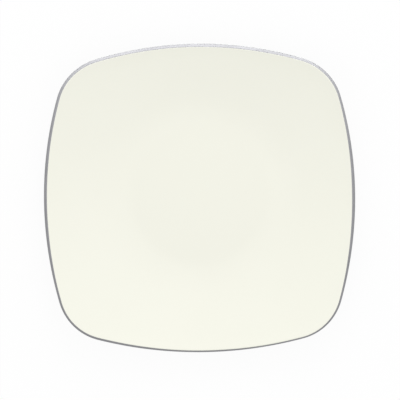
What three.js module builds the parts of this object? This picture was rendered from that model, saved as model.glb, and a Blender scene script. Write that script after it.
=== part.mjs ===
// A square serving platter in pressed stoneware. The dish is turned: a flat round well sweeps up into
// a wall that steepens slowly. The rim cuts that dish to a square with bowed sides and round corners,
// so the corners stand higher than the middles of the sides, and the edge turns up into a rounded lip.
// Four fired coats lie on the clay: gloss cream inside, a grey band from just over the lip's crest,
// matt grey outside, and the same grey inside the foot ring. The foot's resting edge is bare clay.
// Millimetres, +Z up. The origin is the middle of the plane that the foot rests on.
import * as THREE from "three";

// Outline of the rim, over the glaze
const RIM_WIDTH = 298; // between the middles of two opposite sides
const SIDE_RADIUS = 360; // bow of each side
const CORNER_RADIUS = 53; // rounding of each corner

// Section through the middle of a side
const HEIGHT = 26; // top of the lip above the table, over the glaze
const WELL_RADIUS = 60; // flat floor of the well
const FLOOR_SWEEP = 38; // width of the curve that lifts the floor into the wall
const WALL_RADIUS = 500; // hollow of the wall between that curve and the lip
const LIP_SWEEP = 12; // width of the curve that turns the wall up under the lip
const LIP_ANGLE = 20; // slope of the wall where the lip begins, in degrees
const WELL_THICKNESS = 5; // clay under the well
const LIP_THICKNESS = 4; // clay at the lip, which is fully rounded
const BAND_REACH = 6; // how far the grey band reaches over the crest to the inside, in degrees

// Foot ring
const FOOT_RADIUS = 76; // middle of the resting face
const FOOT_FACE = 3.2; // width of the flat resting face
const FOOT_EDGE = 0.5; // chamfer on both sides of the resting face
const FOOT_HEIGHT = 3.2; // depth of the recess inside the ring
const FOOT_DRAFT = 18; // lean of the ring's sides, in degrees
const FOOT_FILLET = 2.2; // run of the fillet between the ring and the dish
const FOOT_BARE = 1.3; // height of clay that the glaze leaves bare above the table

const GLAZE = 0.45; // thickness of every fired coat

// Facets along each stretch of the outline and of the section
const STEPS = { arc: 8, sweep: 3, wall: 4, turn: 3, lipInside: 2, lipOutside: 5, fillet: 3 };

const { clamp, degToRad, lerp, smoothstep } = THREE.MathUtils;
const halfWidth = RIM_WIDTH / 2;
const point = (u, z) => new THREE.Vector2(u, z);

// Evenly spaced values from first to last, with both ends.
function spaced(first, last, steps) {
  return Array.from({ length: steps + 1 }, (_, step) => lerp(first, last, step / steps));
}

// The rim's outline runs through four side arcs and four corner arcs that meet tangentially. Each of
// its columns holds a rim point, the outward normal there, and the ray from the middle to the point.
function rimColumns() {
  const sideCentre = halfWidth - SIDE_RADIUS;
  const reach = SIDE_RADIUS - CORNER_RADIUS; // between the centres of a side arc and a corner arc
  const cornerCentre = (sideCentre + Math.sqrt(2 * reach ** 2 - sideCentre ** 2)) / 2;
  const meeting = Math.atan2(cornerCentre, cornerCentre - sideCentre);
  const side = { centre: point(sideCentre, 0), radius: SIDE_RADIUS, from: -meeting, to: meeting };
  const corner = {
    centre: point(cornerCentre, cornerCentre),
    radius: CORNER_RADIUS,
    from: meeting,
    to: Math.PI / 2 - meeting,
  };
  const columns = [];
  for (const quarter of [0, 1, 2, 3]) {
    const turn = (quarter * Math.PI) / 2;
    for (const arc of [side, corner]) {
      const centre = arc.centre.clone().rotateAround(point(0, 0), turn);
      for (const angle of spaced(arc.from, arc.to, STEPS.arc).slice(0, -1)) {
        const normal = point(Math.cos(angle + turn), Math.sin(angle + turn));
        const rim = centre.clone().addScaledVector(normal, arc.radius);
        columns.push({ rim, normal, ray: rim.clone().normalize() });
      }
    }
  }
  return columns;
}

// The lip is an arc round its own centre, from the wall's upper face over the crest to its underside.
const lipRadius = LIP_THICKNESS / 2;
const lipAngle = degToRad(LIP_ANGLE);
const lipCentre = point(halfWidth - GLAZE - lipRadius, HEIGHT - GLAZE - lipRadius);
const lipPoint = (angle) => point(Math.cos(angle), Math.sin(angle)).multiplyScalar(lipRadius).add(lipCentre);
const crestAngle = Math.PI / 2;
const bandAngle = crestAngle + degToRad(BAND_REACH);
const lipStart = lipPoint(crestAngle + lipAngle);
const lipEnd = lipPoint(lipAngle - crestAngle);

// Rise and slope of a line that starts level, steepens evenly over a run to a slope of 1, and keeps it.
function bend(distance, run) {
  const bent = clamp(distance, 0, run);
  return { rise: bent ** 2 / (2 * run) + Math.max(distance - run, 0), slope: bent / run };
}

// Three such bends make the upper face: one lifts the well's floor into the wall, one hollows the wall,
// and one turns the wall's edge up. The wall's slope is the one that brings the face to the lip.
const sweepEnd = WELL_RADIUS + FLOOR_SWEEP;
const turnStart = lipStart.x - LIP_SWEEP;
const floorBend = (r) => bend(r - WELL_RADIUS, FLOOR_SWEEP);
const wallBend = (r) => bend(r - sweepEnd, WALL_RADIUS);
const edgeBend = (u) => bend(u - turnStart, LIP_SWEEP);
const floorHeight = FOOT_HEIGHT + WELL_THICKNESS;
const [floor, wall, edge] = [floorBend, wallBend, edgeBend].map((curve) => curve(lipStart.x));
const steepening = Math.tan(lipAngle) - wall.slope; // that the sweep and the edge share
const wallSlope = (lipStart.y - floorHeight - wall.rise - steepening * edge.rise) / (floor.rise - edge.rise);
const turnSlope = steepening - wallSlope;

// Rise of the turned dish over its floor at a distance r from the axis, without the turned-up edge.
const turnedRise = (r) => wallSlope * floorBend(r).rise + wallBend(r).rise;

// Point of the clay's upper face at a distance u from the middle.
function upperFace(u) {
  return point(u, floorHeight + turnedRise(u) + turnSlope * edgeBend(u).rise);
}

// Point of the wall's underside, which lies under the upper face by a thickness that tapers to the lip.
function underside(u) {
  const slope = wallSlope * floorBend(u).slope + wallBend(u).slope + turnSlope * edgeBend(u).slope;
  const taper = (u - FOOT_RADIUS) / (lipEnd.x - FOOT_RADIUS);
  return point(u, upperFace(u).y - lerp(WELL_THICKNESS, LIP_THICKNESS, taper) * Math.hypot(1, slope));
}

// The foot's sides lean away from its resting face. The outer one runs up to the wall's underside, and
// the steps that find where they meet close in on it because both lines are far from parallel.
const footLean = Math.tan(degToRad(FOOT_DRAFT));
const footSide = FOOT_FACE / 2 + FOOT_EDGE;
const outerSide = (z) => point(FOOT_RADIUS + footSide + z * footLean, z);
const innerSide = (z) => point(FOOT_RADIUS - footSide - z * footLean, z);
const MEETING_STEPS = 20;
let outerRoot = outerSide(FOOT_HEIGHT);
for (let step = 0; step < MEETING_STEPS; step += 1) {
  outerRoot = outerSide(underside(outerRoot.x).y);
}
const innerRoot = innerSide(FOOT_HEIGHT);

// Fillet between two points round the root where their faces would meet.
const fillet = (from, root, to) => new THREE.QuadraticBezierCurve(from, root, to).getPoints(STEPS.fillet);
const outerRun = Math.min(FOOT_FILLET, outerRoot.y - FOOT_BARE);
const innerRun = Math.min(FOOT_FILLET, FOOT_HEIGHT - FOOT_BARE);
const roundRadius = outerRoot.x + outerRun;

// The clay's section, as stretches that each start where the one before them ends.
const upperStops = [
  0,
  ...spaced(WELL_RADIUS, sweepEnd, STEPS.sweep),
  ...spaced(sweepEnd, turnStart, STEPS.wall).slice(1),
  ...spaced(turnStart, lipStart.x, STEPS.turn).slice(1, -1),
];
const lowerStops = upperStops.filter((u) => u > roundRadius).reverse();
const insideStretch = [
  ...upperStops.map(upperFace),
  ...spaced(crestAngle + lipAngle, bandAngle, STEPS.lipInside).map(lipPoint),
];
const lipStretch = spaced(bandAngle, lipAngle - crestAngle, STEPS.lipOutside).map(lipPoint);
const outsideStretch = [
  lipStretch.at(-1),
  ...lowerStops.map(underside),
  ...fillet(underside(roundRadius), outerRoot, outerSide(outerRoot.y - outerRun)),
  outerSide(FOOT_BARE),
];
const footStretch = [
  outerSide(FOOT_BARE),
  outerSide(FOOT_EDGE),
  point(FOOT_RADIUS + FOOT_FACE / 2, 0),
  point(FOOT_RADIUS - FOOT_FACE / 2, 0),
  innerSide(FOOT_EDGE),
  innerSide(FOOT_BARE),
];
const recessStretch = [
  innerSide(FOOT_BARE),
  ...fillet(innerSide(FOOT_HEIGHT - innerRun), innerRoot, point(innerRoot.x - innerRun, FOOT_HEIGHT)),
  point(0, FOOT_HEIGHT),
];
const stretches = [insideStretch, lipStretch, outsideStretch, footStretch, recessStretch];
const claySection = stretches.flatMap((stretch, index) => (index === 0 ? stretch : stretch.slice(1)));

// Outward normal of the line from one section point to the next.
const lineNormal = (from, to) => point(from.y - to.y, to.x - from.x).normalize();

// Section of a coat on one stretch of the clay: out along the coat's surface, at one thickness from
// the clay on both sides of each corner, and back along the clay itself.
function coatSection(stretch) {
  const surface = stretch.map((here) => {
    const index = claySection.findIndex((other) => other.equals(here));
    const before = claySection[index - 1];
    const after = claySection[index + 1];
    const first = before ? lineNormal(before, here) : lineNormal(here, after);
    const second = after ? lineNormal(here, after) : first;
    const mitre = first.clone().add(second).multiplyScalar(GLAZE / (1 + first.dot(second)));
    return here.clone().add(mitre);
  });
  return [...surface, ...stretch.slice().reverse()];
}

// A section point in space. Rings are circles as far as the foot and turn into offsets of the rim's
// outline further out, so the foot is round and the lip has one width along sides and corners. A point
// that this carries further from the axis climbs the turned dish with it.
function place({ x: u, y: z }, { rim, normal, ray }) {
  const round = ray.clone().multiplyScalar(u);
  const square = rim.clone().addScaledVector(normal, u - halfWidth);
  const spot = round.lerp(square, smoothstep(u, roundRadius, halfWidth));
  const climb = turnedRise(spot.length()) - turnedRise(u);
  return new THREE.Vector3(spot.x, spot.y, u > roundRadius ? z + climb : z);
}

// The closed solid that a section makes along the columns, with one shared point where it meets the
// axis. Each facet is split from its inner ring at one column to its outer ring at the next, whichever
// way the section runs, so a coat and the clay under it have the same facets and touch all over.
function turnedSquare(section, columns) {
  const vertices = [];
  const rings = section.map((here) => {
    const start = vertices.length;
    const ring = here.x === 0 ? [columns[0]] : columns;
    vertices.push(...ring.map((column) => place(here, column)));
    return (index) => start + (index % ring.length);
  });
  const triangles = [];
  section.forEach((here, row) => {
    const nextRow = (row + 1) % section.length;
    const there = section[nextRow];
    const outward = there.x > here.x || (there.x === here.x && there.y > here.y);
    columns.forEach((_, column) => {
      const [a, b] = [rings[row](column), rings[row](column + 1)];
      const [d, c] = [rings[nextRow](column), rings[nextRow](column + 1)];
      triangles.push(...(outward ? [[a, d, c], [a, c, b]] : [[a, d, b], [d, c, b]]));
    });
  });
  const facets = triangles.filter(([a, b, c]) => a !== b && b !== c && c !== a);
  const geometry = new THREE.BufferGeometry().setFromPoints(vertices);
  geometry.setIndex(facets.flat());
  geometry.computeVertexNormals();
  return geometry;
}

const FINISHES = {
  clay: { color: 0xd9cfbf, roughness: 0.9 },
  creamGloss: { color: 0xf3f4e7, roughness: 0.12 },
  greySatin: { color: 0x858588, roughness: 0.4 },
  greyMatt: { color: 0x88888d, roughness: 0.6 },
};

const PIECES = [
  { name: "stoneware_body", section: claySection, finish: FINISHES.clay },
  { name: "inner_glaze", section: coatSection(insideStretch), finish: FINISHES.creamGloss },
  { name: "lip_band", section: coatSection(lipStretch), finish: FINISHES.greySatin },
  { name: "outer_glaze", section: coatSection(outsideStretch), finish: FINISHES.greyMatt },
  { name: "foot_recess_glaze", section: coatSection(recessStretch), finish: FINISHES.greyMatt },
];

const platter = new THREE.Group();
const columns = rimColumns();
for (const { name, section, finish } of PIECES) {
  const material = new THREE.MeshStandardMaterial({ ...finish, metalness: 0 });
  const mesh = new THREE.Mesh(turnedSquare(section, columns), material);
  mesh.name = name;
  platter.add(mesh);
}

export default platter;
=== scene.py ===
"""Square serving platter in fired stoneware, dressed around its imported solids.

The dish is turned: a flat round well sweeps up into a wall that steepens slowly. A square outline with
bowed sides cuts it, so the corners stand higher than the sides. Every piece is a section of that dish
carried round the rim. A section is an array of complex numbers, the distance from the middle plus the
height times 1j. A plan is an array of complex numbers, x plus y times 1j. Metres, +Z up.
"""
import math

import bpy
import numpy as np
from bpy.props import FloatProperty, FloatVectorProperty, PointerProperty
from bpy.types import Operator, Panel, PropertyGroup
from mathutils import Matrix, Vector


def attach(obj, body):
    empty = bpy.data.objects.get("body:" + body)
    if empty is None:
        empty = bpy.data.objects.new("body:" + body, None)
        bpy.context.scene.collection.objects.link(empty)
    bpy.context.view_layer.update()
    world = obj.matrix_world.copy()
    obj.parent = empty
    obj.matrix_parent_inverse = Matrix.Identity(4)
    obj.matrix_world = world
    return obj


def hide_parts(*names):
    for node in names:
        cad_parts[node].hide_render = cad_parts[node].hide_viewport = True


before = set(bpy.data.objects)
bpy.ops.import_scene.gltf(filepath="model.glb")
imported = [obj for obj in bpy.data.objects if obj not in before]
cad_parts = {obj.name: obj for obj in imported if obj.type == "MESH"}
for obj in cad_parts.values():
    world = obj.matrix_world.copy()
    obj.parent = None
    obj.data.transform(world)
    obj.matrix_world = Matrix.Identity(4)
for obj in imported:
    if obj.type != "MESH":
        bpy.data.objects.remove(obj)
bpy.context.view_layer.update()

bl_info = {
    "name": "Square serving platter",
    "version": (1, 0, 0),
    "blender": (4, 5, 0),
    "location": "3D View > Sidebar > Platter",
    "description": "Builds a glazed square stoneware platter and the studio it stands in",
    "category": "Add Mesh",
}

BODY = "root"
LIP_PIECE = "lip_coat"
THIN_EDGE = "thin_edge"  # attribute of the vertices that masks where a coat thins at an edge
QUARTER_TURN = math.pi / 2
CREST = QUARTER_TURN  # angle of the lip's highest point round the lip's own centre
SHARP_ANGLE = math.radians(40)  # edges that bend further than this stay sharp
ROOT_STEPS = 20  # steps that close in on where the foot meets the wall
FACET_SAG = 0.00003  # how far the facets of the solids fall short of the lip's highest point
SIDE_COLUMNS = 56  # mesh columns along each side of the rim
CORNER_COLUMNS = 40  # mesh columns round each corner

# Mesh rows along each stretch of the section
ROWS = {
    "floor": 10, "sweep": 18, "wall": 22, "turn": 14, "lip_inside": 10, "lip_outside": 22,
    "underside": 44, "fillet": 8, "foot_side": 4, "foot_edge": 6, "foot_face": 6, "recess": 12,
}

# Line between cream and grey: angles round the lip that are added to the crest and the band's reach
BORDER_SWING = math.radians(12)  # further in on the +Y side, and less on the -Y side
SIDE_SWING = math.radians(8)  # further in on the X sides, and less on the Y sides
CORNER_SWING = math.radians(12)  # less at the corners
BORDER_STRETCHES = ((239, 15), (37, -9))  # heading of an uneven stretch, how far in it goes, in degrees
STRETCH_SPREAD = math.radians(13)  # how far round the rim such a stretch fades
BORDER_WAVER = math.radians(3)  # wander of the line

# Edges of the coats
BORDER_ROLL = (0.0005, 0.72)  # run over which a coat thins at that line, and the share left of it
FOOT_ROLL = (0.0009, 0.12)  # the same at the glaze line on the foot
FOOT_WAVER = 0.00022  # wander of the glaze line on the foot
OUTER_START = 1.0  # where round the rim that wander starts on the foot's outer side
INNER_START = 2.0  # where it starts on the foot's inner side
THIN_RUN = 0.0005  # distance over which the thin-edge mask fades
WAVES = ((2, 0.5), (5, 0.8), (9, 0.6), (17, 0.5), (29, 0.35))  # waves round the rim, and their weights
WAVE_PHASE = 2.4  # angle by which a wave is shifted for each time it goes round

# Finishes
WHITE = (1.0, 1.0, 1.0, 1.0)
FULL = (0.0, 1.0)  # range of a mask
GLASSY_INDEX = 1.5  # refractive index of the gloss and satin glazes
DRY_INDEX = 1.45  # refractive index of the matt glaze and the clay
WELL_SHADE_EDGE = 0.016  # run over which the painted shade of the well fades out
RUBBED = 0.35  # how far the resting face of the foot is rubbed darker
RING_SHARE = 0.5  # height of the turning rings on the foot, next to the clay's own relief

# The display curve of colours: a straight toe, then a power
DISPLAY_WHITE = 255
TOE_END = 0.04045
TOE_SLOPE = 12.92
CURVE_SHIFT = 0.055
CURVE_POWER = 2.4

# Kinds of sockets in the shared node groups, and the places of the colour sockets on a Mix node
VECTOR = "NodeSocketVector"
VALUE = "NodeSocketFloat"
COLOUR = "NodeSocketColor"
MIX_SHARE = 0
MIX_FIRST = 6
MIX_SECOND = 7
MIX_RESULT = 2

# Studio
FLOOR_REACH = 4.0  # half the floor's width
FLOOR_DROP = 0.0002  # clearance between the floor and the foot
FLOOR_CELLS = 8  # cells along each side of the floor
FLOOR_GLOW = 0.93  # share of the floor that is plain white to the camera; the rest keeps the shadow
SENSOR_MM = 36.0  # width of the camera's sensor in millimetres, the unit of its lens
KEY_SIZE = (1.6, 1.6)
KEY_PLACE = Vector((0.32, 1.95, 1.2))
EDGE_SIZE = (0.34, 0.06)
EDGE_PLACE = Vector((0.005, 0.205, 0.13))


def linear(red, green, blue):
    """Linear colour of three 8-bit display values: the display curve's toe or its power."""
    display = np.array((red, green, blue)) / DISPLAY_WHITE
    power_part = ((display + CURVE_SHIFT) / (1 + CURVE_SHIFT)) ** CURVE_POWER
    return tuple(np.where(display > TOE_END, power_part, display / TOE_SLOPE))


def length(name, description, metres):
    """A size in metres that a user may change."""
    return FloatProperty(name=name, description=description, default=metres, min=0.0, precision=4,
                         subtype="DISTANCE", unit="LENGTH")


def shift(name, description, metres):
    """A place along an axis that a user may change, in metres to either side."""
    return FloatProperty(name=name, description=description, default=metres, precision=4,
                         subtype="DISTANCE", unit="LENGTH")


def angle(name, description, degrees):
    """An angle that a user may change."""
    return FloatProperty(name=name, description=description, default=math.radians(degrees),
                         subtype="ANGLE", unit="ROTATION")


def colour(name, description, display):
    """A colour that a user may change, from its 8-bit display values."""
    return FloatVectorProperty(name=name, description=description, default=linear(*display), size=3,
                               min=0.0, max=1.0, subtype="COLOR")


def level(name, description, value):
    """A plain number that a user may change."""
    return FloatProperty(name=name, description=description, default=value, min=0.0, subtype="FACTOR")


def power(name, description, watts):
    """The power of a lamp that a user may change."""
    return FloatProperty(name=name, description=description, default=watts, min=0.0, unit="POWER")


class PlatterSizes(PropertyGroup):
    """Sizes of the platter, the same as those of its solids."""

    rim_width: length("Rim width", "Between the middles of two opposite sides", 0.298)
    side_radius: length("Side radius", "Bow of each side", 0.360)
    corner_radius: length("Corner radius", "Rounding of each corner", 0.053)
    height: length("Height", "Top of the lip at the middle of a side", 0.026)
    well_radius: length("Well radius", "Flat floor of the well", 0.060)
    floor_sweep: length("Floor sweep", "Width of the curve that lifts the floor into the wall", 0.038)
    wall_radius: length("Wall radius", "Hollow of the wall", 0.500)
    lip_sweep: length("Lip sweep", "Width of the curve that turns the wall up under the lip", 0.012)
    lip_angle: angle("Lip angle", "Slope of the wall where the lip begins", 20)
    well_thickness: length("Well thickness", "Clay under the well", 0.005)
    lip_thickness: length("Lip thickness", "Clay at the rounded lip", 0.004)
    band_reach: angle("Band reach", "How far the grey band reaches over the crest to the inside", 6)
    foot_radius: length("Foot radius", "Middle of the resting face", 0.076)
    foot_face: length("Foot face", "Width of the resting face", 0.0032)
    foot_edge: length("Foot edge", "Rounding on both sides of the resting face", 0.0005)
    foot_height: length("Foot height", "Depth of the recess inside the foot", 0.0032)
    foot_draft: angle("Foot draft", "Lean of the foot's sides", 18)
    foot_fillet: length("Foot fillet", "Run of the fillet between the foot and the dish", 0.0022)
    foot_bare: length("Bare foot", "Height of bare clay above the table", 0.0013)
    glaze: length("Glaze", "Thickness of every fired coat", 0.00045)


class PlatterFinishes(PropertyGroup):
    """Colours of the clay, its glazes and the floor."""

    cream: colour("Cream", "Gloss glaze of the inside", (244, 244, 232))
    cream_drift: colour("Drifted cream", "Gloss glaze a little deeper from the kiln", (243.2, 243.2, 231))
    # painted shade: a darker cream laid over the well
    cream_well_shade: colour("Painted well shade", "Gloss glaze darkened over the well as painted shade", (242.2, 242.2, 230))
    lip: colour("Lip", "Satin grey from the lip's crest outwards", (133, 133, 136))
    lip_deep: colour("Deep lip", "Satin grey where the kiln left it darker", (127, 127, 130))
    lip_worn: colour("Thin lip", "Satin grey where it thins at its edge", (136, 136, 140))
    outside: colour("Outside", "Matt grey of the outside", (138, 138, 144))
    outside_deep: colour("Deep outside", "Matt grey where the kiln left it darker", (128, 128, 134))
    clay: colour("Clay", "Bare fired clay of the foot", (217, 207, 191))
    clay_deep: colour("Deep clay", "Bare clay where it took more fire", (201, 188, 168))
    floor: colour("Floor", "Studio floor", (250, 250, 250))


class PlatterStudio(PropertyGroup):
    """Camera and lights."""

    camera_distance: length("Camera distance", "From the middle of the platter", 5.0)
    view_width: length("View width", "Width of the picture at the platter", 0.3848)
    camera_tilt: angle("Camera tilt", "Lean of the view from straight down, from the far side", 7.8)
    camera_roll: angle("Camera roll", "Turn of the picture", -0.44)
    aim_right: shift("Aim right", "Place the camera looks at, along X", 0.0004)
    aim_up: shift("Aim up", "Place the camera looks at, along Y", -0.0046)
    sky: level("Sky", "Strength of the soft light from all round", 0.87)
    key: power("Key light", "Power of the softbox that shapes the dish", 16.0)
    edge: power("Edge light", "Power of the panel that lights the far lip", 0.7)


def bend(distance, run):
    """Rise and slope of a line that starts level, steepens evenly to 1 over a run and keeps that slope."""
    bent = np.clip(distance, 0.0, run)
    return bent**2 / (2 * run) + np.maximum(distance - run, 0.0), bent / run


def bezier(first, root, last, steps):
    """Quadratic curve from first to last that leaves and arrives along the lines through root."""
    share = np.linspace(0.0, 1.0, steps + 1)
    return (1 - share) ** 2 * first + 2 * share * (1 - share) * root + share**2 * last


def waver(around):
    """A wandering line round the rim, between about -1 and 1.

    It is a weighted sum of sines that go round a whole number of times, so it closes.
    """
    waves = [weight * np.sin(count * around + WAVE_PHASE * count) for count, weight in WAVES]
    return sum(waves) / sum(weight for _, weight in WAVES)


def across(profile, columns):
    """A profile that is the same at every column of the rim."""
    return np.repeat(profile[:, None], columns, axis=1)


class Rim:
    """The rim's outline: four side arcs and four corner arcs that meet tangentially.

    Each column has its point on the outline, the outward normal there, the ray from the middle to it,
    and the angle, from 0 to a full turn, that its place along the outline stands for.
    """

    def __init__(self, sizes):
        half = sizes.rim_width / 2
        side_centre = half - sizes.side_radius
        reach = sizes.side_radius - sizes.corner_radius
        corner_centre = (side_centre + math.sqrt(2 * reach**2 - side_centre**2)) / 2
        meeting = math.atan2(corner_centre, corner_centre - side_centre)
        side_angles = np.linspace(-meeting, meeting, SIDE_COLUMNS + 1)[:-1]
        corner_angles = np.linspace(meeting, QUARTER_TURN - meeting, CORNER_COLUMNS + 1)[:-1]
        side = side_centre + sizes.side_radius * np.exp(1j * side_angles)
        corner = corner_centre * (1 + 1j) + sizes.corner_radius * np.exp(1j * corner_angles)
        quarter = np.concatenate((side, corner))
        normals = np.exp(1j * np.concatenate((side_angles, corner_angles)))
        quarters = 1j ** np.arange(4)[:, None]
        self.points = (quarters * quarter).ravel()
        self.normals = (quarters * normals).ravel()
        self.rays = self.points / np.abs(self.points)
        steps = np.abs(np.roll(self.points, -1) - self.points)
        self.around = 2 * math.pi * (np.cumsum(steps) - steps) / steps.sum()


class Dish:
    """The platter's section and how it stands in space, worked out from the sizes.

    The upper face is level over the well. One bend lifts it into the wall, a second hollows the wall, and
    a third turns its edge up to the lip, which is an arc round its own centre. The wall's slope is the one
    that brings the face from the floor to the lip. The underside lies below the upper face by a thickness
    that tapers to the lip, and the foot is a ring with leaning sides and filleted roots.
    """

    def __init__(self, sizes):
        self.sizes = sizes
        self.half = sizes.rim_width / 2
        self.lip_radius = sizes.lip_thickness / 2
        inset = sizes.glaze + self.lip_radius
        self.lip_centre = complex(self.half - inset, sizes.height - FACET_SAG - inset)
        self.lip_start = self.lip_point(CREST + sizes.lip_angle)
        self.lip_end = self.lip_point(sizes.lip_angle - QUARTER_TURN)
        self.floor_height = sizes.foot_height + sizes.well_thickness
        self.sweep_end = sizes.well_radius + sizes.floor_sweep
        self.turn_start = self.lip_start.real - sizes.lip_sweep
        self.solve_slopes()
        self.foot_side = sizes.foot_face / 2 + sizes.foot_edge
        self.lean = math.tan(sizes.foot_draft)
        self.outer_root = self.outer_side(sizes.foot_height)
        for _ in range(ROOT_STEPS):
            self.outer_root = self.outer_side(self.underside(self.outer_root.real).imag)
        self.inner_root = self.inner_side(sizes.foot_height)
        self.outer_run = min(sizes.foot_fillet, self.outer_root.imag - sizes.foot_bare)
        self.inner_run = min(sizes.foot_fillet, sizes.foot_height - sizes.foot_bare)
        self.round_radius = self.outer_root.real + self.outer_run

    def solve_slopes(self):
        """Slopes of the wall and of the turned-up edge that bring the upper face to the lip's start."""
        floor_rise, _ = bend(self.lip_start.real - self.sizes.well_radius, self.sizes.floor_sweep)
        wall_rise, wall_slope = bend(self.lip_start.real - self.sweep_end, self.sizes.wall_radius)
        edge_rise, _ = bend(self.sizes.lip_sweep, self.sizes.lip_sweep)
        steepening = math.tan(self.sizes.lip_angle) - wall_slope
        climb = self.lip_start.imag - self.floor_height - wall_rise
        self.wall_slope = (climb - steepening * edge_rise) / (floor_rise - edge_rise)
        self.turn_slope = steepening - self.wall_slope

    def lip_point(self, around):
        """Point of the lip's arc at an angle round its centre."""
        return self.lip_centre + self.lip_radius * np.exp(1j * around)

    def turned(self, radius):
        """Rise and slope of the turned dish at a distance from the axis, without its turned-up edge."""
        floor_rise, floor_slope = bend(radius - self.sizes.well_radius, self.sizes.floor_sweep)
        wall_rise, wall_slope = bend(radius - self.sweep_end, self.sizes.wall_radius)
        return self.wall_slope * floor_rise + wall_rise, self.wall_slope * floor_slope + wall_slope

    def upper_face(self, distance):
        """The clay's upper face at distances from the middle."""
        edge_rise, _ = bend(distance - self.turn_start, self.sizes.lip_sweep)
        return distance + 1j * (self.floor_height + self.turned(distance)[0] + self.turn_slope * edge_rise)

    def underside(self, distance):
        """The wall's underside: the upper face less the tapering thickness, measured square to the face."""
        _, edge_slope = bend(distance - self.turn_start, self.sizes.lip_sweep)
        slope = self.turned(distance)[1] + self.turn_slope * edge_slope
        taper = (distance - self.sizes.foot_radius) / (self.lip_end.real - self.sizes.foot_radius)
        thinning = taper * (self.sizes.lip_thickness - self.sizes.well_thickness)
        thickness = self.sizes.well_thickness + thinning
        return self.upper_face(distance) - 1j * thickness * np.hypot(1.0, slope)

    def outer_side(self, height):
        """The foot's outer side, which leans out as it rises."""
        return self.sizes.foot_radius + self.foot_side + height * self.lean + 1j * height

    def inner_side(self, height):
        """The foot's inner side, which leans in as it rises."""
        return self.sizes.foot_radius - self.foot_side - height * self.lean + 1j * height

    def inside(self, border):
        """Clay from the middle of the well up to the border on the lip, an angle for each column."""
        ends = (0.0, self.sizes.well_radius, self.sweep_end, self.turn_start, self.lip_start.real)
        names = ("floor", "sweep", "wall", "turn")
        stops = [np.linspace(start, end, ROWS[name] + 1)[:-1]
                 for start, end, name in zip(ends, ends[1:], names)]
        face = across(self.upper_face(np.concatenate(stops)), border.size)
        arc = np.linspace(CREST + self.sizes.lip_angle, border, ROWS["lip_inside"] + 1)
        return np.concatenate((face, self.lip_point(arc)))

    def lip(self, border):
        """Clay from the border on the lip round to the lip's underside."""
        end = self.sizes.lip_angle - QUARTER_TURN
        return self.lip_point(np.linspace(border, end, ROWS["lip_outside"] + 1))

    def outside(self, bare):
        """Clay from the lip's underside down to the glaze line on the foot, a height for each column."""
        stops = np.linspace(self.lip_end.real, self.round_radius, ROWS["underside"] + 1)[:-1]
        root_low = self.outer_side(self.outer_root.imag - self.outer_run)
        curve = bezier(self.underside(self.round_radius), self.outer_root, root_low, ROWS["fillet"])
        face = across(np.concatenate((self.underside(stops), curve)), bare.size)
        side = np.linspace(root_low.imag, bare, ROWS["foot_side"] + 1)[1:]
        return np.concatenate((face, self.outer_side(side)))

    def foot(self, outer_bare, inner_bare):
        """Bare clay of the foot: both glaze lines, two rounded edges and the flat resting face."""
        edge = self.sizes.foot_edge
        outer_end = self.sizes.foot_radius + self.sizes.foot_face / 2
        inner_end = self.sizes.foot_radius - self.sizes.foot_face / 2
        outer_edge = bezier(self.outer_side(edge), self.outer_side(0.0), outer_end, ROWS["foot_edge"])
        inner_edge = bezier(inner_end, self.inner_side(0.0), self.inner_side(edge), ROWS["foot_edge"])
        face = np.linspace(outer_end, inner_end, ROWS["foot_face"] + 1)[1:-1] + 0j
        middle = across(np.concatenate((outer_edge, face, inner_edge)), outer_bare.size)
        down = np.linspace(outer_bare, edge, ROWS["foot_side"] + 1)[:-1]
        up = np.linspace(edge, inner_bare, ROWS["foot_side"] + 1)[1:]
        return np.concatenate((self.outer_side(down), middle, self.inner_side(up)))

    def recess(self, bare):
        """Clay from the inner glaze line up into the recess and along its roof to the axis."""
        root_low = self.inner_side(self.sizes.foot_height - self.inner_run)
        roof_start = complex(self.inner_root.real - self.inner_run, self.sizes.foot_height)
        curve = bezier(root_low, self.inner_root, roof_start, ROWS["fillet"])
        roof = np.linspace(roof_start, 1j * self.sizes.foot_height, ROWS["recess"] + 1)[1:]
        face = across(np.concatenate((curve, roof)), bare.size)
        side = np.linspace(bare, root_low.imag, ROWS["foot_side"] + 1)[:-1]
        return np.concatenate((self.inner_side(side), face))

    def carry(self, section, rim):
        """Points in space of a section at every column of the rim.

        A ring is a circle as far as the foot. Further out it turns by a smooth step into an offset of the
        rim's outline. A point that this carries away from the axis climbs the turned dish with it.
        """
        distance, height = section.real, section.imag
        share = np.clip((distance - self.round_radius) / (self.half - self.round_radius), 0.0, 1.0)
        share = share**2 * (3 - 2 * share)
        square = rim.points + rim.normals * (distance - self.half)
        spot = (1 - share) * rim.rays * distance + share * square
        climb = self.turned(np.abs(spot))[0] - self.turned(distance)[0]
        height = height + np.where(distance > self.round_radius, climb, 0.0)
        return np.stack((spot.real, spot.imag, height), axis=-1)


def border_line(band_reach, rim):
    """Angle round the lip of the line between cream and grey, at every column.

    It is the crest plus the band's reach. Sines of the heading swing it from side to side and back at the
    corners, a bell curve adds each uneven stretch, and a waver roughens it.
    """
    heading = np.angle(rim.rays)
    reach = band_reach + BORDER_SWING * np.sin(heading) + SIDE_SWING * np.cos(2 * heading)
    border = CREST + reach - CORNER_SWING * np.sin(2 * heading) ** 2 + BORDER_WAVER * waver(rim.around)
    for middle, further in np.radians(BORDER_STRETCHES):
        border += further * np.exp((np.cos(heading - middle) - 1) / STRETCH_SPREAD**2)
    return border


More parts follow.
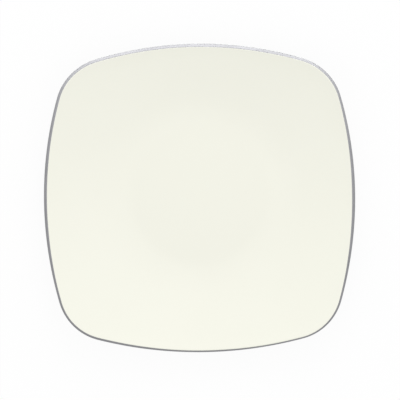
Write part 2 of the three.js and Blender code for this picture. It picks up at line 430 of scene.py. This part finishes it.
class Coats:
    """Sections of the clay and of the four coats on it, one for every column of the rim.

    The clay's section runs from the middle of the well over the lip and the foot to the roof of the recess,
    and a coat follows one stretch of it.
    """

    def __init__(self, dish, rim):
        self.glaze = dish.sizes.glaze
        border = border_line(dish.sizes.band_reach, rim)
        outer_bare = dish.sizes.foot_bare + FOOT_WAVER * waver(rim.around + OUTER_START)
        inner_bare = dish.sizes.foot_bare + FOOT_WAVER * waver(rim.around + INNER_START)
        stretches = {
            "inside": dish.inside(border),
            "lip": dish.lip(border),
            "outside": dish.outside(outer_bare),
            "foot": dish.foot(outer_bare, inner_bare),
            "recess": dish.recess(inner_bare),
        }
        self.spans = {}
        start = 0
        for name, stretch in stretches.items():
            self.spans[name] = slice(start, start + len(stretch))
            start += len(stretch) - 1
        parts = list(stretches.values())
        self.clay = np.concatenate([part[:-1] for part in parts[:-1]] + [parts[-1]])
        along = np.gradient(self.clay, axis=0)
        self.normals = 1j * along / np.abs(along)

    def coat(self, name, start_roll=None, end_roll=None):
        """Surface of a coat, the clay under it, and the mask of its thin edges.

        At an edge that has a roll, the coat swells from a share of its thickness to all of it along a
        quarter of an ellipse.
        """
        span = self.spans[name]
        clay = self.clay[span]
        steps = np.abs(np.diff(clay, axis=0))
        travelled = np.concatenate((np.zeros((1, clay.shape[1])), np.cumsum(steps, axis=0)))
        thickness = np.full(clay.shape, self.glaze)
        thin = np.zeros(clay.shape)
        for roll, distance in ((start_roll, travelled), (end_roll, travelled[-1] - travelled)):
            if roll is None:
                continue
            run, least = roll
            gone = 1 - np.clip(distance / run, 0.0, 1.0)
            thickness = thickness * (least + (1 - least) * np.sqrt(1 - gone**2))
            thin = np.maximum(thin, np.exp(-distance / THIN_RUN))
        return clay + thickness * self.normals[span], clay, thin


def new_object(name, points, faces):
    """An object at the origin, with a mesh of points and faces."""
    mesh = bpy.data.meshes.new(name)
    mesh.from_pydata(points.tolist(), [], faces)
    made = bpy.data.objects.new(name, mesh)
    bpy.context.scene.collection.objects.link(made)
    return made


def loft(name, points, thin, on_axis):
    """Closed piece from a grid of points, whose rows follow the section and whose columns go round the rim.

    A section that starts and ends on the axis gets one pole there at each end, and any other joins its
    last row to its first. The thin-edge mask becomes an attribute of the vertices.
    """
    rows, columns = points.shape[:2]
    index = np.arange(rows * columns).reshape(rows, columns)
    if on_axis:
        index[0] = index[0, 0]
        index[-1] = index[-1, 0]
    else:
        index = np.concatenate((index, index[:1]))
    here, there = index[:-1], index[1:]
    faces = np.stack((here, there, np.roll(there, -1, axis=1), np.roll(here, -1, axis=1)), axis=-1)
    used, compact = np.unique(faces, return_inverse=True)
    faces = compact.reshape(faces.shape)
    fans = []
    if on_axis:  # two corners of a face at a pole are the same point, so it is a triangle
        fans = faces[0][:, :3].tolist() + faces[-1][:, [0, 1, 3]].tolist()
        faces = faces[1:-1]
    piece = new_object(name, points.reshape(-1, 3)[used], faces.reshape(-1, 4).tolist() + fans)
    mesh = piece.data
    mask = mesh.attributes.new(THIN_EDGE, "FLOAT", "POINT")
    mask.data.foreach_set("value", thin.ravel()[used].astype(np.float32))
    mesh.shade_smooth()
    mesh.set_sharp_from_angle(angle=SHARP_ANGLE)
    mesh.validate()
    return piece


def platter_form(context):
    """The dish, its rim and the sections of its coats, from the scene's sizes."""
    sizes = context.scene.platter_sizes
    dish = Dish(sizes)
    rim = Rim(sizes)
    return dish, rim, Coats(dish, rim)


def coat_piece(name, form, stretch, axis_row=None, **rolls):
    """Closed piece of a coat, whose section runs along the coat's surface and back along the clay.

    The axis row is the row of the stretch that lies on the axis, 0 or -1. A section that meets the axis
    starts and ends there, so one that meets it at its last row runs along the clay first.
    """
    dish, rim, coats = form
    surface, clay, thin = coats.coat(stretch, **rolls)
    halves = [(surface, thin), (clay[::-1], thin[::-1])]
    if axis_row == -1:
        halves.reverse()
    section, mask = (np.concatenate(rows) for rows in zip(*halves))
    return loft(name, dish.carry(section, rim), mask, on_axis=axis_row is not None)


def fit_out(piece, node, material):
    """Gives a piece its material, ties it to the body, and hides the CAD node that it stands in for."""
    if not piece.data.polygons:
        raise RuntimeError(piece.name + " has no faces")
    piece.data.materials.append(material)
    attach(piece, BODY)
    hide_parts(node)


class NodeBench:
    """Short ways to add and join the nodes of one tree."""

    def __init__(self, tree):
        self.tree = tree

    def add(self, kind, inputs=None, **settings):
        """A node of a kind, with settings on the node and values or links on its inputs."""
        node = self.tree.nodes.new(kind)
        for name, value in settings.items():
            setattr(node, name, value)
        for name, value in (inputs or {}).items():
            if isinstance(value, bpy.types.NodeSocket):
                self.tree.links.new(value, node.inputs[name])
            else:
                node.inputs[name].default_value = value
        return node

    def maths(self, operation, first, second):
        """Result of a sum on two values or sockets."""
        return self.add("ShaderNodeMath", {0: first, 1: second}, operation=operation).outputs[0]

    def spread(self, value, source, target):
        """A value carried by a smooth step from its source range to a target range."""
        inputs = {"Value": value, "From Min": source[0], "From Max": source[1],
                  "To Min": target[0], "To Max": target[1]}
        return self.add("ShaderNodeMapRange", inputs, interpolation_type="SMOOTHSTEP").outputs["Result"]

    def blend(self, share, first, second):
        """A mix of two colours."""
        inputs = {MIX_SHARE: share, MIX_FIRST: first, MIX_SECOND: second}
        return self.add("ShaderNodeMix", inputs, data_type="RGBA").outputs[MIX_RESULT]

    def noise(self, place, scale, detail, roughness=0.5):
        """Soft noise between 0 and 1."""
        inputs = {"Vector": place, "Scale": scale, "Detail": detail, "Roughness": roughness}
        return self.add("ShaderNodeTexNoise", inputs).outputs["Fac"]

    def seen(self):
        """Mask of what the camera sees, directly or in a mirrored or clear surface."""
        rays = self.add("ShaderNodeLightPath").outputs
        mirrored = self.maths("MAXIMUM", rays["Is Glossy Ray"], rays["Is Transmission Ray"])
        return self.maths("MAXIMUM", rays["Is Camera Ray"], mirrored)

    def mix_shaders(self, share, first, second):
        """A mix of the shaders of two nodes."""
        inputs = {0: share, 1: first.outputs[0], 2: second.outputs[0]}
        return self.add("ShaderNodeMixShader", inputs).outputs[0]


def clear_bench(holder):
    """A bench on the emptied node tree of a material or a world."""
    holder.use_nodes = True
    holder.node_tree.nodes.clear()
    return NodeBench(holder.node_tree)


def new_group(name, inputs, outputs):
    """An empty node group with named sockets: its bench, and the sockets that its inputs come in by."""
    tree = bpy.data.node_groups.new(name, "ShaderNodeTree")
    for in_out, sockets in (("INPUT", inputs), ("OUTPUT", outputs)):
        for socket_name, socket_type in sockets.items():
            tree.interface.new_socket(socket_name, in_out=in_out, socket_type=socket_type)
    bench = NodeBench(tree)
    return bench, bench.add("NodeGroupInput").outputs


def make_kiln_drift(name):
    """Slow drift of a colour over the piece, from pale to deep, as the kiln's heat leaves it."""
    inputs = {"Vector": VECTOR, "Scale": VALUE, "Pale": COLOUR, "Deep": COLOUR}
    bench, entry = new_group(name, inputs, {"Color": COLOUR})
    heat = bench.noise(entry["Vector"], entry["Scale"], detail=3.0, roughness=0.55)
    share = bench.spread(heat, source=(0.3, 0.7), target=FULL)
    bench.add("NodeGroupOutput", {"Color": bench.blend(share, entry["Pale"], entry["Deep"])})


def make_fired_skin(name):
    """Height of a fired surface, a slow ripple with a fine grain, and a mask of smoother patches."""
    inputs = {"Vector": VECTOR, "Ripple Scale": VALUE, "Grain Scale": VALUE, "Grain Share": VALUE}
    bench, entry = new_group(name, inputs, {"Height": VALUE, "Patch": VALUE})
    ripple = bench.noise(entry["Vector"], entry["Ripple Scale"], detail=1.0)
    grain = bench.noise(entry["Vector"], entry["Grain Scale"], detail=3.0, roughness=0.6)
    height = bench.maths("ADD", ripple, bench.maths("MULTIPLY", grain, entry["Grain Share"]))
    patch = bench.spread(ripple, source=(0.35, 0.65), target=FULL)
    bench.add("NodeGroupOutput", {"Height": height, "Patch": patch})


def make_iron_specks(name):
    """Mask of small specks: round spots in the cells of a Voronoi pattern, in only some of the cells."""
    bench, entry = new_group(name, {"Vector": VECTOR, "Scale": VALUE, "Share": VALUE}, {"Mask": VALUE})
    cells = bench.add("ShaderNodeTexVoronoi", {"Vector": entry["Vector"], "Scale": entry["Scale"]})
    spot = bench.spread(cells.outputs["Distance"], source=(0.16, 0.30), target=(1.0, 0.0))
    chance = bench.add("ShaderNodeSeparateColor", {"Color": cells.outputs["Color"]}).outputs["Red"]
    chosen = bench.maths("LESS_THAN", chance, entry["Share"])
    bench.add("NodeGroupOutput", {"Mask": bench.maths("MULTIPLY", spot, chosen)})


SHARED_EFFECTS = {
    "Kiln drift": make_kiln_drift, "Fired skin": make_fired_skin, "Iron specks": make_iron_specks,
}


def rgba(plain, shade=1.0):
    """A colour with full alpha, darkened to a share of itself."""
    return (*(shade * np.array(plain)), 1.0)


class Finish:
    """A material with one Principled shader, whose patterns follow the piece's Object coordinates."""

    def __init__(self, name, index):
        self.material = bpy.data.materials.new(name)
        self.bench = clear_bench(self.material)
        self.index = index
        self.place = self.bench.add("ShaderNodeTexCoord").outputs["Object"]

    def effect(self, name, **values):
        """A shared effect placed in this material with its own values, and made at its first use."""
        if name not in bpy.data.node_groups:
            SHARED_EFFECTS[name](name)
        inputs = {key.replace("_", " "): value for key, value in values.items()}
        inputs["Vector"] = self.place
        return self.bench.add("ShaderNodeGroup", inputs, node_tree=bpy.data.node_groups[name]).outputs

    def drift(self, pale, deep, scale):
        """A colour that drifts from pale to deep."""
        return self.effect("Kiln drift", Scale=scale, Pale=rgba(pale), Deep=rgba(deep))["Color"]

    def speckled(self, base, speck, strength, **values):
        """A base colour with specks of another colour on it."""
        mask = self.effect("Iron specks", **values)["Mask"]
        return self.bench.blend(self.bench.maths("MULTIPLY", mask, strength), base, speck)

    def thinned(self, base, bare, source, most):
        """A base colour that gives way to another where the coat thins, at most by a share."""
        mask = self.bench.add("ShaderNodeAttribute", attribute_name=THIN_EDGE).outputs["Fac"]
        return self.bench.blend(self.bench.spread(mask, source, target=(0.0, most)), base, rgba(bare))

    def surface(self, base, roughness, height, strength, depth):
        """The material, with a base colour, a roughness and a relief joined to its shader."""
        bump = self.bench.add("ShaderNodeBump", {"Height": height, "Strength": strength, "Distance": depth})
        inputs = {"Base Color": base, "Roughness": roughness, "Normal": bump.outputs["Normal"]}
        shader = self.bench.add("ShaderNodeBsdfPrincipled", {"IOR": self.index, **inputs})
        self.bench.add("ShaderNodeOutputMaterial", {"Surface": shader.outputs["BSDF"]})
        return self.material


def cream_gloss(finishes, well_radius):
    """Gloss cream glaze: an even, glassy skin with the faintest ripple, and painted shade that darkens it
    over the well.
    """
    finish = Finish("Cream gloss glaze", GLASSY_INDEX)
    bench = finish.bench
    drifted = finish.drift(finishes.cream, finishes.cream_drift, scale=14.0)
    from_middle = bench.add("ShaderNodeVectorMath", {0: finish.place}, operation="LENGTH").outputs["Value"]
    # painted shade: the cream is darkened over the flat well and fades out past its edge
    well_shade = bench.spread(from_middle, source=(well_radius, well_radius + WELL_SHADE_EDGE), target=(1.0, 0.0))
    base = bench.blend(well_shade, drifted, rgba(finishes.cream_well_shade))
    skin = finish.effect("Fired skin", Ripple_Scale=60.0, Grain_Scale=900.0, Grain_Share=0.04)
    roughness = bench.spread(skin["Patch"], source=FULL, target=(0.13, 0.17))
    return finish.surface(base, roughness, skin["Height"], strength=0.25, depth=0.00012)


def grey_satin(finishes):
    """Satin grey of the lip: paler where it thins at its edge, with soft patches of sheen."""
    finish = Finish("Grey satin glaze", GLASSY_INDEX)
    drifted = finish.drift(finishes.lip, finishes.lip_deep, scale=40.0)
    base = finish.thinned(drifted, finishes.lip_worn, source=(0.35, 1.0), most=0.8)
    skin = finish.effect("Fired skin", Ripple_Scale=90.0, Grain_Scale=1800.0, Grain_Share=0.05)
    roughness = finish.bench.spread(skin["Patch"], source=FULL, target=(0.36, 0.42))
    return finish.surface(base, roughness, skin["Height"], strength=0.12, depth=0.0001)


def grey_matt(finishes):
    """Matt grey of the outside and the recess: a dry, fine-grained skin with small dark specks."""
    finish = Finish("Grey matt glaze", DRY_INDEX)
    drifted = finish.drift(finishes.outside, finishes.outside_deep, scale=22.0)
    dark = rgba(finishes.outside_deep, shade=0.35)
    speckled = finish.speckled(drifted, dark, strength=0.35, Scale=520.0, Share=0.12)
    base = finish.thinned(speckled, finishes.clay_deep, source=(0.3, 1.0), most=0.6)
    skin = finish.effect("Fired skin", Ripple_Scale=140.0, Grain_Scale=2200.0, Grain_Share=0.8)
    roughness = finish.bench.spread(skin["Patch"], source=FULL, target=(0.56, 0.68))
    return finish.surface(base, roughness, skin["Height"], strength=0.4, depth=0.00012)


def bare_clay(finishes, foot_edge):
    """Bare fired clay of the foot: grainy and dry, with turning rings, and rubbed darker where it rests."""
    finish = Finish("Bare fired clay", DRY_INDEX)
    bench = finish.bench
    drifted = finish.drift(finishes.clay, finishes.clay_deep, scale=45.0)
    dark = rgba(finishes.clay_deep, shade=0.3)
    speckled = finish.speckled(drifted, dark, strength=0.5, Scale=900.0, Share=0.2)
    height = bench.add("ShaderNodeSeparateXYZ", {"Vector": finish.place}).outputs["Z"]
    rubbed = bench.spread(height, source=(0.0, foot_edge), target=(RUBBED, 0.0))
    base = bench.blend(rubbed, speckled, rgba(finishes.clay_deep, shade=0.6))
    ring_inputs = {"Vector": finish.place, "Scale": 420.0, "Distortion": 1.5, "Detail": 2.0}
    rings = bench.add("ShaderNodeTexWave", ring_inputs, wave_type="RINGS", rings_direction="Z")
    skin = finish.effect("Fired skin", Ripple_Scale=300.0, Grain_Scale=2600.0, Grain_Share=1.2)
    relief = bench.maths("ADD", skin["Height"], bench.maths("MULTIPLY", rings.outputs["Fac"], RING_SHARE))
    roughness = bench.spread(rubbed, source=(0.0, RUBBED), target=(0.92, 0.78))
    return finish.surface(base, roughness, relief, strength=0.6, depth=0.00015)


class PLATTER_OT_clay(Operator):
    """Turns the clay dish with its foot ring, the piece that every coat lies on"""

    bl_idname = "platter.clay"
    bl_label = "Clay dish"

    def execute(self, context):
        dish, rim, coats = platter_form(context)
        points = dish.carry(coats.clay, rim)
        piece = loft("clay_dish", points, np.zeros(coats.clay.shape), on_axis=True)
        material = bare_clay(context.scene.platter_finishes, dish.sizes.foot_edge)
        fit_out(piece, "stoneware_body", material)
        return {"FINISHED"}


class PLATTER_OT_cream(Operator):
    """Pours the gloss cream coat over the well, the wall and the inner part of the lip"""

    bl_idname = "platter.cream"
    bl_label = "Cream inside"

    def execute(self, context):
        form = platter_form(context)
        piece = coat_piece("cream_coat", form, "inside", axis_row=0, end_roll=BORDER_ROLL)
        material = cream_gloss(context.scene.platter_finishes, context.scene.platter_sizes.well_radius)
        fit_out(piece, "inner_glaze", material)
        return {"FINISHED"}


class PLATTER_OT_lip(Operator):
    """Wipes the satin grey band over the crest and the outer part of the lip"""

    bl_idname = "platter.lip"
    bl_label = "Grey lip"

    def execute(self, context):
        piece = coat_piece(LIP_PIECE, platter_form(context), "lip", start_roll=BORDER_ROLL)
        fit_out(piece, "lip_band", grey_satin(context.scene.platter_finishes))
        return {"FINISHED"}


class PLATTER_OT_matt(Operator):
    """Lays the matt grey coats on the outside of the wall and inside the foot ring"""

    bl_idname = "platter.matt"
    bl_label = "Matt outside"

    def execute(self, context):
        form = platter_form(context)
        material = grey_matt(context.scene.platter_finishes)
        outside = coat_piece("outside_coat", form, "outside", end_roll=FOOT_ROLL)
        fit_out(outside, "outer_glaze", material)
        recess = coat_piece("recess_coat", form, "recess", axis_row=-1, start_roll=FOOT_ROLL)
        fit_out(recess, "foot_recess_glaze", material)
        return {"FINISHED"}


def studio_floor(finishes):
    """A flat floor: a grid in the plane just under the foot, white to the camera but for a faint shadow."""
    ticks = np.linspace(-FLOOR_REACH, FLOOR_REACH, FLOOR_CELLS + 1)
    east, north = np.meshgrid(ticks, ticks)
    points = np.stack((east, north, np.full(east.shape, -FLOOR_DROP)), axis=-1).reshape(-1, 3)
    index = np.arange(len(points)).reshape(east.shape)
    faces = np.stack((index[:-1, :-1], index[:-1, 1:], index[1:, 1:], index[1:, :-1]), axis=-1)
    floor = new_object("studio_floor", points, faces.reshape(-1, 4).tolist())
    material = bpy.data.materials.new("Studio floor")
    bench = clear_bench(material)
    paint = bench.add("ShaderNodeBsdfDiffuse", {"Color": rgba(finishes.floor)})
    white = bench.add("ShaderNodeEmission", {"Color": WHITE, "Strength": 1.0})
    share = bench.maths("MULTIPLY", bench.seen(), FLOOR_GLOW)
    bench.add("ShaderNodeOutputMaterial", {"Surface": bench.mix_shaders(share, paint, white)})
    floor.data.materials.append(material)


def studio_sky(studio):
    """Soft light from all round, plain white to the camera and in mirrored views."""
    world = bpy.data.worlds.new("Studio sky")
    bpy.context.scene.world = world
    bench = clear_bench(world)
    soft = bench.add("ShaderNodeBackground", {"Color": WHITE, "Strength": studio.sky})
    white = bench.add("ShaderNodeBackground", {"Color": WHITE, "Strength": 1.0})
    bench.add("ShaderNodeOutputWorld", {"Surface": bench.mix_shaders(bench.seen(), soft, white)})


def softbox(name, place, size, watts):
    """A rectangular lamp at a place, turned to the platter, that lights but isn't mirrored."""
    lamp = bpy.data.lights.new(name, "AREA")
    lamp.shape = "RECTANGLE"
    lamp.size, lamp.size_y = size
    lamp.energy = watts
    stand = bpy.data.objects.new(name, lamp)
    stand.location = place
    stand.rotation_euler = (-place).to_track_quat("-Z", "Y").to_euler()
    stand.visible_camera = False
    stand.visible_glossy = False
    bpy.context.scene.collection.objects.link(stand)
    return stand


def edge_panel(studio):
    """A small lamp over the far lip that lights only the lip's coat."""
    panel = softbox("edge_panel", EDGE_PLACE, EDGE_SIZE, studio.edge)
    panel.data.cycles.use_multiple_importance_sampling = False  # keeps stray bright spots off the lip
    lit = bpy.data.collections.new("lit_by_edge_panel")
    lit.objects.link(bpy.data.objects[LIP_PIECE])
    panel.light_linking.receiver_collection = lit


def studio_camera(studio):
    """A long lens that looks down on the platter, leaning from its far side."""
    camera = bpy.data.cameras.new("Studio camera")
    camera.type = "PERSP"
    camera.sensor_fit = "HORIZONTAL"
    camera.sensor_width = SENSOR_MM
    camera.lens = SENSOR_MM * studio.camera_distance / studio.view_width
    holder = bpy.data.objects.new("Studio camera", camera)
    bpy.context.scene.collection.objects.link(holder)
    turn = Matrix.Rotation(-studio.camera_tilt, 4, "X") @ Matrix.Rotation(studio.camera_roll, 4, "Z")
    away = turn @ Vector((0.0, 0.0, studio.camera_distance))
    aim = Vector((studio.aim_right, studio.aim_up, 0.0))
    holder.matrix_world = Matrix.Translation(aim + away) @ turn
    bpy.context.scene.camera = holder


class PLATTER_OT_studio(Operator):
    """Sets the platter on a white floor, in soft light, under the camera"""

    bl_idname = "platter.studio"
    bl_label = "Studio"

    def execute(self, context):
        studio = context.scene.platter_studio
        context.scene.view_settings.view_transform = "Standard"
        studio_floor(context.scene.platter_finishes)
        studio_sky(studio)
        softbox("key_softbox", KEY_PLACE, KEY_SIZE, studio.key)
        edge_panel(studio)
        studio_camera(studio)
        return {"FINISHED"}


OPERATORS = (PLATTER_OT_clay, PLATTER_OT_cream, PLATTER_OT_lip, PLATTER_OT_matt, PLATTER_OT_studio)
GROUPS = {
    "platter_sizes": PlatterSizes, "platter_finishes": PlatterFinishes, "platter_studio": PlatterStudio,
}


class PLATTER_PT_panel(Panel):
    """The platter's steps, sizes, colours and studio"""

    bl_idname = "PLATTER_PT_panel"
    bl_label = "Square platter"
    bl_space_type = "VIEW_3D"
    bl_region_type = "UI"
    bl_category = "Platter"

    def draw(self, context):
        for step in OPERATORS:
            self.layout.operator(step.bl_idname)
        for group_name, listed in GROUPS.items():
            box = self.layout.box()
            for name in listed.__annotations__:
                box.prop(getattr(context.scene, group_name), name)


CLASSES = (*GROUPS.values(), *OPERATORS, PLATTER_PT_panel)


def register():
    for listed in CLASSES:
        bpy.utils.register_class(listed)
    for name, group in GROUPS.items():
        setattr(bpy.types.Scene, name, PointerProperty(type=group))


def unregister():
    for name in GROUPS:
        delattr(bpy.types.Scene, name)
    for listed in reversed(CLASSES):
        bpy.utils.unregister_class(listed)


def main():
    register()
    bpy.ops.platter.clay()
    bpy.ops.platter.cream()
    bpy.ops.platter.lip()
    bpy.ops.platter.matt()
    bpy.ops.platter.studio()


if __name__ == "__main__":
    main()
